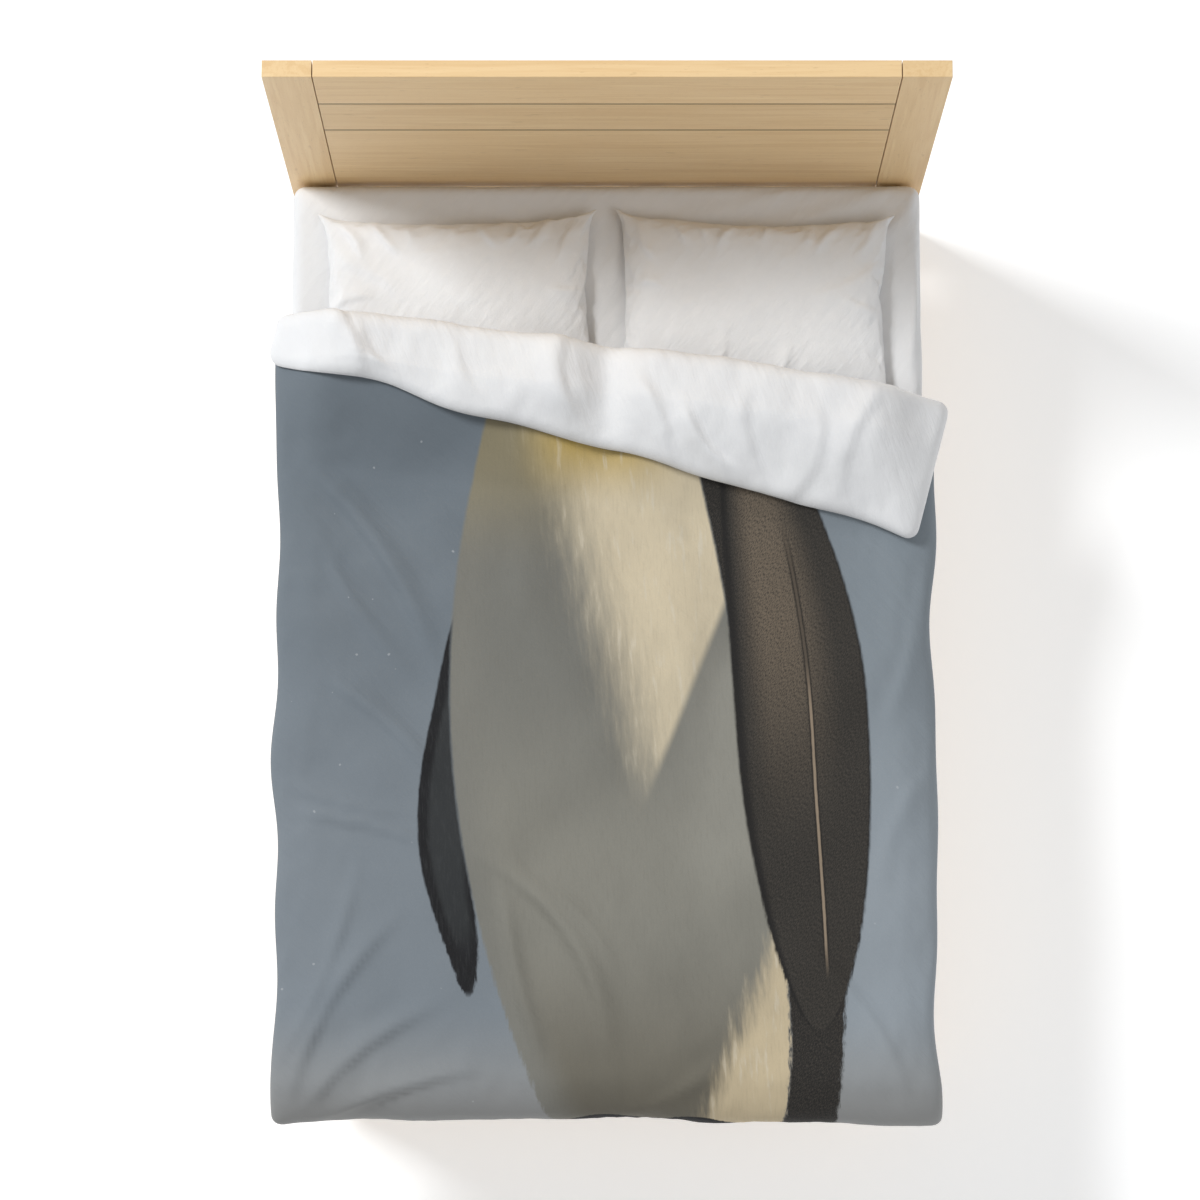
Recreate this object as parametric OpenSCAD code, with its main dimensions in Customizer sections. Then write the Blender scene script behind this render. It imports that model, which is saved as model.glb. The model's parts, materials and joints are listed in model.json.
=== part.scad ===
// Double bed, made up: timber frame and headboard, mattress with fitted sheet,
// two pillows, and a printed duvet whose head end is turned back.
// Millimetres. +Z is up, +Y points to the headboard, the origin is on the floor
// under the middle of the bed.

/* [Mattress] */
// Width of the mattress
mattress_w = 1350; // [1200:10:1500]
// Length of the mattress
mattress_l = 1900; // [1850:10:2050]
// Thickness of the mattress
mattress_t = 250; // [180:5:300]
// Height of the slat tops above the floor
deck_h = 280; // [250:5:380]

/* [Headboard] */
// Height of the headboard above the floor
headboard_h = 1300; // [1100:10:1450]
// Width of the headboard
headboard_w = 1362; // [1362:2:1440]
// Thickness of the headboard boards
headboard_t = 34; // [28:1:45]
// Width of each headboard post
post_w = 98; // [80:1:120]
// Face height of the top and middle planks
plank_h = 188; // [150:1:200]

/* [Frame] */
// Height of the side and foot rails
rail_h = 120; // [100:5:150]
// Thickness of the rails
rail_t = 28; // [22:1:36]
// Number of slats
slat_count = 13; // [13:1:13]
// Width of a slat
slat_w = 68; // [50:1:90]
// Thickness of a slat
slat_t = 18; // [15:1:22]

/* [Pillows] */
// Width of a filled pillow
pillow_w = 600; // [520:5:630]
// Depth of a filled pillow
pillow_d = 420; // [380:5:440]
// Height of a pillow's crown
pillow_h = 95; // [70:1:97]

/* [Duvet] */
// Width of the duvet
duvet_w = 1400; // [1380:5:1430]
// Thickness of the filled duvet
duvet_t = 34; // [24:1:40]
// Angle of the fold line across the bed
fold_angle = 7.6; // [4:0.1:9]
// Distance from headboard to the fold line on the centre line
fold_mid = 420; // [400:5:460]
// Distance from headboard to the duvet's head end before it was turned back
head_end = 236; // [200:2:260]
// Height that the duvet rises to pass over the pillows
fold_rise = 100; // [98:1:110]

/* [Hidden] */

$fn = 48;

// Lengthwise layout. The overall box is centred on the origin.
head_gap = 12;                 // mattress to headboard
bend_in = 51;                  // inside radius of the duvet's bend over the foot
panel_t = 26;                  // thickness of the planks below the top one
batten_t = 16;                 // thickness of the battens on the panel's back
total_l = panel_t + batten_t + head_gap + mattress_l + bend_in + duvet_t;
y_head = total_l / 2 - panel_t - batten_t; // front face of the headboard
y_post = y_head + headboard_t; // back face of its posts
y_mat1 = y_head - head_gap;    // head end of the mattress
y_mat0 = y_mat1 - mattress_l;  // foot end of the mattress
mat_z = deck_h + mattress_t;   // top of the mattress

// Mattress make-up
skin = 1.2;                    // thickness of a cloth skin
air = 0.3;                     // clearance between neighbouring soft pieces
ticking_t = 3;
comfort_t = 50;
corner_r = 70;                 // plan radius of a mattress corner

// Frame
rail_inset = 5;                // rails stand this far inside the mattress
rail_x = mattress_w / 2 - rail_inset;
rail_z = deck_h - rail_h;
foot_rail_y = y_mat0 + rail_inset;
leg_s = 60;                    // foot leg section
ledger_w = 25;
ledger_h = 40;
beam_w = 45;
beam_h = 60;
centre_leg_s = 45;
glide_t = 4;
slat_len = 2 * (rail_x - rail_t) - 6;
slat_first = foot_rail_y + rail_t + 75;
slat_pitch = (y_head - 60 - slat_first) / (slat_count - 1);
deck_under = deck_h - slat_t;
cross_h = 90;

// Fastener radii
bolt_r = 4;
bolt_hole_r = 4.25;
nut_r = 6;
dowel_r = 4;
screw_r = 2;
screw_head_r = 4;

// Headboard heights
seam = 2;                      // open joint between neighbouring boards
tongue = 8;
post_x = headboard_w / 2 - post_w;
plank_len = 2 * post_x - 2 * seam;
z_top_plank = headboard_h - plank_h;
z_mid_plank = z_top_plank - plank_h - seam;
panel_bottom = mat_z - 60;
batten_w = 60;
batten_x = 330;

// Duvet
duvet_z = mat_z + 1 + skin;    // underside of the duvet where it lies flat
roll_r = duvet_t / 2;
fold_y = y_head - fold_mid;
plateau_s = 60;                // flat strip behind the fold
ramp_s = 272;                  // the duvet is down on the mattress from here
flap_s = 40;                   // the turned-back part starts here
foot_drop = 83;
flap_x = 722;                  // largest half width of the turned-back part
flap_spread = 33;              // its right side reaches this far past the duvet's
fold_z = duvet_z + fold_rise + roll_r;
zip_len = 1200;

// ---------------------------------------------------------------- helpers

// A box given by its lowest and highest corners
module span(lo, hi) {
    translate(lo) cube(hi - lo);
}

// Upright rectangle with rounded corners, centred on the axis, drawn flat
module rounded_rect(w, l, r) {
    square([w - 2 * r, l], center = true);
    square([w, l - 2 * r], center = true);
    for (x = [-1, 1], y = [-1, 1])
        translate([x * (w / 2 - r), y * (l / 2 - r)]) circle(r = r);
}

// Moves its children to the fold line: X runs along the fold, Y towards the head
module at_fold(z = 0) {
    translate([0, fold_y, z]) rotate([0, 0, -fold_angle]) children();
}

// A countersunk screw pointing along -Z with its head flush at z = 0
module wood_screw(len) {
    translate([0, 0, -len]) cylinder(r = screw_r, h = len - 2);
    translate([0, 0, -2.6]) cylinder(r1 = screw_r, r2 = screw_head_r, h = 2.6);
}

// The hole that a wood screw leaves
module screw_hole(len) {
    translate([0, 0, -len - 0.1]) cylinder(r = screw_r + 0.05, h = len + 0.2);
    translate([0, 0, -2.7]) cylinder(r1 = screw_r + 0.05, r2 = screw_head_r + 0.1, h = 2.71);
}

// ---------------------------------------------------------------- headboard

dowel_z = [headboard_h - 50, headboard_h - 140, z_mid_plank + 45,
           z_mid_plank + 145, panel_bottom + 60, panel_bottom + 200,
           panel_bottom + 340, deck_h - 60, deck_h - 20];
bolt_z = [rail_z + 32, rail_z + 88];

// Dowels that hold the boards to the posts, grown by g for their holes
module dowels(g = 0) {
    for (s = [-1, 1], z = dowel_z)
        translate([s * post_x, y_head + headboard_t / 2, z]) rotate([0, 90, 0])
            cylinder(r = dowel_r + g, h = 50 + 2 * g, center = true);
}

// Long bolts through the posts into the side rails
module bolts_at(side) {
    for (z = bolt_z)
        translate([side * (rail_x - rail_t / 2), y_post, z]) rotate([90, 0, 0]) children();
}

module post(side) {
    color("burlywood") difference() {
        span([side > 0 ? post_x : -headboard_w / 2, y_head, glide_t],
             [side > 0 ? headboard_w / 2 : -post_x, y_post, headboard_h]);
        dowels(0.05);
        bolts_at(side) translate([0, 0, -1]) cylinder(r = bolt_hole_r, h = headboard_t + 2);
        bolts_at(side) translate([0, 0, -1]) cylinder(r = 8.5, h = 8);
    }
}

// A headboard board between the posts, from z0 to z1, tongued below if asked
module board(z0, z1, t, tongued, grooved) {
    mid = y_head + headboard_t / 2;
    color("burlywood") difference() {
        union() {
            span([-plank_len / 2, y_head, z0], [plank_len / 2, y_head + t, z1]);
            if (tongued)
                span([-plank_len / 2, mid - 3, z0 - tongue], [plank_len / 2, mid + 3, z0 + 1]);
        }
        if (grooved)
            span([-plank_len, mid - 3.2, z1 - tongue], [plank_len, mid + 3.2, z1 + 1]);
        dowels(0.05);
        batten_screws_at() screw_hole(34);
    }
}

module plank_top() board(z_top_plank, headboard_h, headboard_t, true, false);

module plank_middle() board(z_mid_plank, z_top_plank - seam, panel_t, true, true);

module panel_lower() board(panel_bottom, z_mid_plank - seam, panel_t, false, true);

module cross_rail() {
    color("burlywood") difference() {
        span([-plank_len / 2, y_head, deck_h - cross_h],
             [plank_len / 2, y_head + panel_t, deck_h]);
        dowels(0.05);
    }
}

batten_z0 = panel_bottom + 20;
batten_z1 = z_top_plank - 10;
batten_screw_z = [z_mid_plank + 50, z_mid_plank + 140, panel_bottom + 60,
                  panel_bottom + 190, panel_bottom + 320];

module batten_screws_at() {
    for (x = [-batten_x, batten_x], z = batten_screw_z)
        translate([x, y_head + panel_t + batten_t, z]) rotate([-90, 0, 0]) children();
}

module batten(side) {
    color("tan") difference() {
        span([side * batten_x - batten_w / 2, y_head + panel_t, batten_z0],
             [side * batten_x + batten_w / 2, y_head + panel_t + batten_t, batten_z1]);
        batten_screws_at() screw_hole(34);
    }
}

// ---------------------------------------------------------------- bed frame

module side_rail(side) {
    color("burlywood") difference() {
        span([side > 0 ? rail_x - rail_t : -rail_x, foot_rail_y, rail_z],
             [side > 0 ? rail_x : -rail_x + rail_t, y_head, deck_h]);
        bolts_at(side) cylinder(r = bolt_hole_r, h = 112);
        barrel_nuts_at(side) cylinder(r = nut_r + 0.05, h = 40, center = true);
        rail_screws_at(side) screw_hole(60);
    }
}

module barrel_nuts_at(side) {
    for (z = bolt_z)
        translate([side * (rail_x - rail_t / 2), y_head - 55, z]) rotate([0, 90, 0])
            children();
}

module bed_bolts() {
    color("silver") for (side = [-1, 1]) bolts_at(side) difference() {
        union() {
            translate([0, 0, 1.5]) cylinder(r = 7, h = 5.5);
            translate([0, 0, 6]) cylinder(r = bolt_r, h = 94);
        }
        translate([0, 0, 1]) cylinder(r = 3, h = 4, $fn = 6);
    }
}

module barrel_nuts() {
    color("silver") for (side = [-1, 1]) difference() {
        barrel_nuts_at(side) cylinder(r = nut_r, h = 22, center = true);
        bolts_at(side) cylinder(r = bolt_r + 0.05, h = 120);
    }
}

module foot_rail() {
    color("burlywood") difference() {
        span([-rail_x + rail_t, foot_rail_y, rail_z],
             [rail_x - rail_t, foot_rail_y + rail_t, deck_h]);
        foot_screws_at() screw_hole(60);
    }
}

leg_screw_z = [rail_z + 15, rail_z + 40];

// Screws through a side rail into its foot leg
module rail_screws_at(side) {
    for (z = leg_screw_z)
        translate([side * rail_x, foot_rail_y + rail_t + leg_s / 2, z])
            rotate([0, side * 90, 0]) children();
}

// Screws through the foot rail into both foot legs
module foot_screws_at() {
    for (s = [-1, 1], z = leg_screw_z)
        translate([s * (rail_x - rail_t - leg_s / 2), foot_rail_y, z + 12])
            rotate([90, 0, 0]) children();
}

module foot_leg(side) {
    x0 = side > 0 ? rail_x - rail_t - leg_s : -rail_x + rail_t;
    color("burlywood") difference() {
        span([x0, foot_rail_y + rail_t, glide_t],
             [x0 + leg_s, foot_rail_y + rail_t + leg_s, deck_under - ledger_h]);
        rail_screws_at(side) screw_hole(60);
        foot_screws_at() screw_hole(60);
    }
}

module leg_screws() {
    color("silver") {
        for (side = [-1, 1]) rail_screws_at(side) wood_screw(60);
        foot_screws_at() wood_screw(60);
    }
}

module slat_ledger(side) {
    x0 = side > 0 ? rail_x - rail_t - ledger_w : -rail_x + rail_t;
    color("tan") difference() {
        span([x0, foot_rail_y + rail_t, deck_under - ledger_h],
             [x0 + ledger_w, y_head, deck_under]);
        slat_screws_at() screw_hole(40);
    }
}

module slat_screws_at() {
    for (i = [0 : slat_count - 1], s = [-1, 1])
        translate([s * (rail_x - rail_t - ledger_w / 2), slat_first + i * slat_pitch, deck_h])
            children();
}

module slat(i) {
    y = slat_first + i * slat_pitch;
    color("wheat") difference() {
        span([-slat_len / 2, y - slat_w / 2, deck_under],
             [slat_len / 2, y + slat_w / 2, deck_h]);
        slat_screws_at() screw_hole(40);
    }
}

beam_y0 = foot_rail_y + rail_t;

module centre_beam() {
    color("tan") span([-beam_w / 2, beam_y0 + 3, deck_under - beam_h],
                      [beam_w / 2, y_head - 3, deck_under]);
}

// Steel shoes that carry the beam's two ends
module beam_brackets() {
    z0 = deck_under - beam_h;
    color("gray") for (end = [beam_y0, y_head]) {
        s = end == beam_y0 ? 1 : -1;
        y1 = end + s * 3;
        y2 = end + s * 43;
        span([-beam_w / 2 - 3, min(end, y1), z0 - 3], [beam_w / 2 + 3, max(end, y1), deck_under - 8]);
        span([-beam_w / 2 - 3, min(y1, y2), z0 - 3], [beam_w / 2 + 3, max(y1, y2), z0]);
        for (x = [-beam_w / 2 - 3, beam_w / 2])
            span([x, min(y1, y2), z0], [x + 3, max(y1, y2), z0 + 30]);
    }
}

centre_leg_y = [mattress_l / 6, -mattress_l / 6];

module centre_leg(i) {
    y = centre_leg_y[i];
    color("burlywood")
        span([-centre_leg_s / 2, y - centre_leg_s / 2, glide_t],
             [centre_leg_s / 2, y + centre_leg_s / 2, deck_under - beam_h]);
}

// A felt glide under every leg
module glides() {
    leg_x = rail_x - rail_t - leg_s / 2;
    leg_y = foot_rail_y + rail_t + leg_s / 2;
    post_mid = headboard_w / 2 - post_w / 2;
    color("dimgray") {
        for (s = [-1, 1]) {
            translate([s * leg_x, leg_y, 0]) cylinder(r = 20, h = glide_t);
            for (d = [-30, 30])
                translate([s * post_mid + d, y_head + headboard_t / 2, 0])
                    cylinder(r = 13, h = glide_t);
        }
        for (y = centre_leg_y) translate([0, y, 0]) cylinder(r = 17, h = glide_t);
    }
}

// ---------------------------------------------------------------- mattress

mat_mid = (y_mat0 + y_mat1) / 2;

// A block with the mattress's outline drawn in by d, between heights z0 and z1
module mattress_block(d, z0, z1) {
    translate([0, mat_mid, z0]) linear_extrude(z1 - z0)
        rounded_rect(mattress_w - 2 * d, mattress_l - 2 * d, corner_r - d);
}

// An opening in the middle of the mattress's underside, inset by rim
module base_opening(rim, r) {
    translate([0, mat_mid, deck_h - 5]) linear_extrude(30)
        rounded_rect(mattress_w - 2 * rim, mattress_l - 2 * rim, r);
}

comfort_z = mat_z - comfort_t;
base_rim = 60;                 // the cover reaches this far under the base

inner = skin + ticking_t + air;

module mattress_core() {
    color("khaki") mattress_block(inner, deck_h + inner, comfort_z);
}

module mattress_comfort() {
    color("lightyellow") mattress_block(inner, comfort_z, mat_z - inner);
}

// The quilted cover wraps the top, the sides and the rim of the base
module mattress_cover() {
    d = skin + ticking_t;
    color("whitesmoke") difference() {
        mattress_block(skin, deck_h + skin, mat_z - skin);
        mattress_block(d, deck_h + d, mat_z - d);
        base_opening(base_rim, 50);
    }
}

// A non-slip panel closes the base inside the cover's rim
module mattress_base() {
    gap = base_rim + air;
    color("gainsboro") translate([0, mat_mid, deck_h + skin]) linear_extrude(ticking_t)
        rounded_rect(mattress_w - 2 * gap, mattress_l - 2 * gap, 50 - air);
}

// The fitted sheet covers the top and sides and tucks under by sheet_tuck
sheet_tuck = 90;

module fitted_sheet() {
    color("white") difference() {
        mattress_block(0, deck_h, mat_z);
        mattress_block(skin, deck_h + skin, mat_z - skin);
        base_opening(sheet_tuck, 40);
    }
}

// The elastic runs round the edge of the tuck, level with the sheet's underside
module sheet_elastic() {
    w = mattress_w - 2 * sheet_tuck - 1;
    l = mattress_l - 2 * sheet_tuck - 1;
    color("gainsboro") translate([0, mat_mid, deck_h]) linear_extrude(skin) difference() {
        rounded_rect(w, l, 39.5);
        rounded_rect(w - 12, l - 12, 33.5);
    }
}

// ---------------------------------------------------------------- pillows

pillow_seam = 25;     // height of the pillow's seam above the sheet
pillow_y = y_head - 75 - pillow_d / 2;
pillow_x = 316;
pillow_edge_h = 45;   // height of its long edges, where the crown starts
pillow_under_r = pillow_seam - 1;

// Cross-section of a pillow above its seam, half wide on each side, drawn
// smaller by inset and carried down below the seam by drop
module front_profile(half, inset, drop) {
    rise = pillow_h - pillow_edge_h;
    crown_r = (half * half + rise * rise) / (2 * rise);
    wide = half - inset;
    intersection() {
        translate([0, pillow_h - crown_r]) circle(r = crown_r - inset, $fn = 360);
        translate([-wide, pillow_seam - drop]) square([2 * wide, pillow_h]);
    }
}

// Cross-section of a pillow below its seam, carried up above it by lift
module back_profile(half, inset, lift) {
    round_x = half - pillow_under_r;
    intersection() {
        union() {
            for (s = [-1, 1])
                translate([s * round_x, pillow_seam]) circle(r = pillow_under_r - inset);
            translate([-round_x, 1 + inset]) square([2 * round_x, pillow_seam]);
        }
        translate([-half, 0]) square([2 * half, pillow_seam + lift]);
    }
}

// Half of a pillow: one cross-section run each way and the two intersected
module pillow_half(front, inset, past) {
    intersection() {
        translate([0, pillow_d, 0]) rotate([90, 0, 0]) linear_extrude(2 * pillow_d)
            pillow_profile(front, pillow_w / 2, inset, past);
        translate([-pillow_w, 0, 0]) rotate([90, 0, 90]) linear_extrude(2 * pillow_w)
            pillow_profile(front, pillow_d / 2, inset, past);
    }
}

module pillow_profile(front, half, inset, past) {
    if (front) front_profile(half, inset, past);
    else back_profile(half, inset, past);
}

module at_pillow(side) {
    translate([side * pillow_x, pillow_y, mat_z]) children();
}

module pillow_filling(side) {
    color("ivory") at_pillow(side) union() {
        pillow_half(true, skin + air, 0);
        pillow_half(false, skin + air, 0);
    }
}

// One cloth panel of a pillowcase: the front lies above the seam, the back below
module pillow_case(side, front) {
    color("white") at_pillow(side) difference() {
        pillow_half(front, 0, 0);
        pillow_half(front, skin, 5);
    }
}

// ---------------------------------------------------------------- duvet

// Underside height of the duvet at distance s behind the fold
function under(s) = duvet_z + fold_rise * max(0, min(1, (ramp_s - s) / (ramp_s - plateau_s)));

// A layer between heights a and b above the underside, from s0 to s1 behind the fold
module ramp_layer(a, b, s0, s1) {
    stops = concat([s0], [for (s = [plateau_s, ramp_s]) if (s > s0 && s < s1) s], [s1]);
    back = [for (k = [len(stops) - 1 : -1 : 0]) stops[k]];
    at_fold() translate([-1000, 0, 0]) rotate([90, 0, 90]) linear_extrude(2000)
        polygon(concat([for (s = stops) [-s, under(s) + a]], [for (s = back) [-s, under(s) + b]]));
}

// Straight sides of the duvet
module side_limit(half) {
    span([-half, -2000, 0], [half, 2000, 2000]);
}

foot_z = duvet_z - bend_in;    // centre height of the bend over the foot

// One layer of the main duvet: over the pillows, along the bed, round the foot
module duvet_layer(a, b, half) {
    intersection() {
        union() {
            ramp_layer(a, b, 0, ramp_s + 400);
            span([-half, y_mat0, duvet_z + a], [half, fold_y - ramp_s - 300, duvet_z + b]);
            translate([-half, y_mat0, foot_z]) rotate([90, 0, 90]) intersection() {
                linear_extrude(2 * half) difference() {
                    circle(r = bend_in + b);
                    circle(r = bend_in + a);
                }
                translate([-200, 0, 0]) cube([200, 200, 2 * half]);
            }
            span([-half, y_mat0 - bend_in - b, foot_z - foot_drop],
                 [half, y_mat0 - bend_in - a, foot_z]);
        }
        side_limit(half);
    }
}

module fold_roll(r0, r1) {
    at_fold(fold_z) rotate([0, 90, 0]) difference() {
        cylinder(r = r1, h = 2000, center = true);
        if (r0 > 0) cylinder(r = r0, h = 2100, center = true);
    }
}

module duvet_filling() {
    half = duvet_w / 2 - 4;
    color("ivory") union() {
        duvet_layer(skin + air, duvet_t - skin - air, half);
        intersection() {
            fold_roll(0, roll_r - skin - air);
            side_limit(half);
        }
    }
}

module duvet_cover_print() {
    color("lightsteelblue") duvet_layer(duvet_t - skin, duvet_t, duvet_w / 2);
}

// The back panel runs under the filling and round the outside of the fold
module duvet_cover_back() {
    color("white") union() {
        duvet_layer(0, skin, duvet_w / 2);
        intersection() {
            fold_roll(roll_r - skin, roll_r);
            at_fold() span([-1000, 0, 0], [1000, 200, 2000]);
            side_limit(duvet_w / 2);
        }
    }
}

zip_y = y_mat0 - bend_in - duvet_t / 2;
zip_z = foot_z - foot_drop;

module zip_tape() {
    color("gainsboro") {
        span([-duvet_w / 2, zip_y - duvet_t / 2, zip_z - skin],
             [duvet_w / 2, zip_y + duvet_t / 2, zip_z]);
        span([-zip_len / 2, zip_y - 2.5, zip_z - 3], [zip_len / 2, zip_y + 2.5, zip_z - skin]);
    }
}

zip_x = -zip_len / 2 + 12;     // the slider is parked at the closed end

module zip_slider() {
    z1 = zip_z - 3.2;
    color("silver") translate([zip_x, zip_y, 0]) difference() {
        union() {
            translate([0, 0, z1 - 4]) linear_extrude(4) rounded_rect(14, 9, 3);
            translate([0, 1, z1 - 8]) rotate([90, 0, 0]) cylinder(r = 5, h = 2);
            span([-3, -1, z1 - 32], [3, 1, z1 - 8]);
        }
        translate([0, 2, z1 - 26]) rotate([90, 0, 0]) cylinder(r = 1.6, h = 4);
    }
}

// Plan of the turned-back part: the duvet's head end mirrored in the fold line
module flap_plan() {
    intersection() {
        translate([0, fold_y]) rotate(-fold_angle) mirror([0, 1]) rotate(fold_angle)
            translate([0, -fold_y])
                translate([-duvet_w / 2, fold_y - 200])
                    square([duvet_w + flap_spread, y_head - head_end - fold_y + 200]);
        square([2 * flap_x, 4000], center = true);
    }
}

// Layers of the turned-back part lie on the duvet, printed side down
module flap_layer(a, b) {
    intersection() {
        ramp_layer(duvet_t + 0.6 + a, duvet_t + 0.6 + b, flap_s, 900);
        linear_extrude(2000) flap_plan();
    }
}

module turnback_filling() {
    color("ivory") flap_layer(skin + air, duvet_t - skin - air);
}

module turnback_cover_print() {
    color("lightsteelblue") flap_layer(0, skin);
}

module turnback_cover_back() {
    color("white") flap_layer(duvet_t - skin, duvet_t);
}

// ---------------------------------------------------------------- output

post(-1);  // headboard_post_left
post(1);  // headboard_post_right
plank_top();  // headboard_plank_top
plank_middle();  // headboard_plank_middle
panel_lower();  // headboard_panel_lower
cross_rail();  // headboard_cross_rail
batten(-1);  // headboard_batten_left
batten(1);  // headboard_batten_right
color("tan") dowels();  // headboard_dowels
color("silver") batten_screws_at() wood_screw(34);  // batten_screws
side_rail(-1);  // side_rail_left
side_rail(1);  // side_rail_right
foot_rail();
foot_leg(-1);  // foot_leg_left
foot_leg(1);  // foot_leg_right
slat_ledger(-1);  // slat_ledger_left
slat_ledger(1);  // slat_ledger_right
centre_beam();
centre_leg(0);  // centre_leg_head
centre_leg(1);  // centre_leg_foot
beam_brackets();
slat(0);  // slat_01
slat(1);  // slat_02
slat(2);  // slat_03
slat(3);  // slat_04
slat(4);  // slat_05
slat(5);  // slat_06
slat(6);  // slat_07
slat(7);  // slat_08
slat(8);  // slat_09
slat(9);  // slat_10
slat(10);  // slat_11
slat(11);  // slat_12
slat(12);  // slat_13
color("silver") slat_screws_at() wood_screw(40);  // slat_screws
bed_bolts();
barrel_nuts();
leg_screws();
glides();
mattress_core();
mattress_comfort();  // mattress_comfort_layer
mattress_cover();
mattress_base();  // mattress_base_panel
fitted_sheet();
sheet_elastic();
pillow_filling(-1);  // pillow_left_filling
pillow_case(-1, true);  // pillow_left_case_front
pillow_case(-1, false);  // pillow_left_case_back
pillow_filling(1);  // pillow_right_filling
pillow_case(1, true);  // pillow_right_case_front
pillow_case(1, false);  // pillow_right_case_back
duvet_filling();
duvet_cover_print();
duvet_cover_back();
zip_tape();
turnback_filling();
turnback_cover_print();
turnback_cover_back();
zip_slider();
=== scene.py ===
"""Looks of a made-up double bed with a printed duvet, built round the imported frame.

Metres. +Z is up, +Y points to the headboard, the origin is on the floor under the bed.
"""

import json
import math

import bmesh
import bpy
import numpy as np
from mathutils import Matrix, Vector


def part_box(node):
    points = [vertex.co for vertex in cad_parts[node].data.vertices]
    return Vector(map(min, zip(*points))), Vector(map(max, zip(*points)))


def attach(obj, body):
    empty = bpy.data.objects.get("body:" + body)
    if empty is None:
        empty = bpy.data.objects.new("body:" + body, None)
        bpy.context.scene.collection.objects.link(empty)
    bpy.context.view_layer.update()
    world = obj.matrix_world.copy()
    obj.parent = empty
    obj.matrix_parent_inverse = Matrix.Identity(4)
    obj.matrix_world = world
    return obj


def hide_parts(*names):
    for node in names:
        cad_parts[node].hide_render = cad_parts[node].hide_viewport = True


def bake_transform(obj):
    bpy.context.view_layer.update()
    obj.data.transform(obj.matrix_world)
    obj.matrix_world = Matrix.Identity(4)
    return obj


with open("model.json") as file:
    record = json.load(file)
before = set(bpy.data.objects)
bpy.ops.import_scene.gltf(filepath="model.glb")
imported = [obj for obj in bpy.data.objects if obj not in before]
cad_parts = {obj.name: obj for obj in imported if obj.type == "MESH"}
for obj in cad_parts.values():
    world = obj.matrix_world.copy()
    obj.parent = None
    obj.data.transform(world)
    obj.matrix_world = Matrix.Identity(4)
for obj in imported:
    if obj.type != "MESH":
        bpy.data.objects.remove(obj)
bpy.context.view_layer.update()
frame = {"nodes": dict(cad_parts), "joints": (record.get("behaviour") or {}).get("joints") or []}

# ------------------------------------------------------------------ places from the frame

SHEET_LO, SHEET_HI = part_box("fitted_sheet")
HEAD_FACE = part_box("headboard_plank_top")[0].y
MATTRESS_TOP = SHEET_HI.z
MATTRESS_FOOT = SHEET_LO.y

hinge = next(j for j in frame["joints"] if j["name"] == "turnback_hinge")
FOLD = Vector(hinge["pos_m"])
FOLD_ANGLE = math.atan2(hinge["axis"][1], -hinge["axis"][0])
ALONG = Vector((math.cos(FOLD_ANGLE), -math.sin(FOLD_ANGLE), 0))
BEHIND = Vector((-math.sin(FOLD_ANGLE), -math.cos(FOLD_ANGLE), 0))

# Path of the duvet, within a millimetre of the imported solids
DUVET_T = 0.034
DUVET_Z = MATTRESS_TOP + 0.003
FOLD_RISE = 0.100
PLATEAU = 0.060
RAMP_END = 0.272
BEND_IN = 0.051
FOOT_DROP = 0.083
FLAP_AT_MIDDLE = 0.184
ROLL = DUVET_T / 2

# Half width of the duvet's cloth, both ends of the turned-back cloth, and the mesh's step
DUVET_HALF = 0.694
FLAP_LEFT = -0.700
FLAP_RIGHT = 0.724
CLOTH_STEP = 0.0105


# ------------------------------------------------------------------ small maths

def smooth(a, b, x):
    """0 before a, 1 after b, and smooth between."""
    t = np.clip((x - a) / (b - a), 0.0, 1.0)
    return t * t * (3 - 2 * t)


def waves(x, y, length, seed, count=18):
    """A smooth random field of about that wavelength, roughly from -1 to 1."""
    rng = np.random.default_rng(seed)
    turn = rng.uniform(0, 2 * math.pi, count)
    size = 2 * math.pi / (length * rng.uniform(0.65, 1.6, count))
    start = rng.uniform(0, 2 * math.pi, count)
    total = np.zeros(np.broadcast(x, y).shape)
    for a, k, s in zip(turn, size, start):
        total += np.sin(k * (x * math.cos(a) + y * math.sin(a)) + s)
    return total / math.sqrt(count) * 0.8


def crease(x, y, start, end, width, height, bow):
    """A soft ridge from start to end, with one side steeper. Bow bends it sideways."""
    lean = 0.5
    ax, ay = start
    bx, by = end
    dx, dy = bx - ax, by - ay
    length = math.hypot(dx, dy)
    along = ((x - ax) * dx + (y - ay) * dy) / length ** 2
    side = ((x - ax) * -dy + (y - ay) * dx) / length
    side = side - bow * 4 * along * (1 - along)
    steep = np.where(side > 0, width * (1 + lean), width * (1 - lean))
    fade = smooth(-0.15, 0.3, along) * (1 - smooth(0.65, 1.15, along))
    return height * fade * np.exp(-(side / steep) ** 2)


def spread(lo, hi, step, rim):
    """Positions from lo to hi, step apart, and closer over the rim at both ends."""
    near = rim * np.array([0.0, 0.03, 0.12, 0.27, 0.47, 0.72])
    middle = np.linspace(lo + rim, hi - rim, max(2, round((hi - lo - 2 * rim) / step)))
    return np.concatenate([lo + near, middle, (hi - near)[::-1]])


def rim_round(distance, radius):
    """Share of the full thickness at a distance from the rim, as a quarter circle."""
    d = np.clip(distance / radius, 0.0, 1.0)
    return np.sqrt(1 - (1 - d) ** 2)


# ------------------------------------------------------------------ mesh helpers

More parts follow.
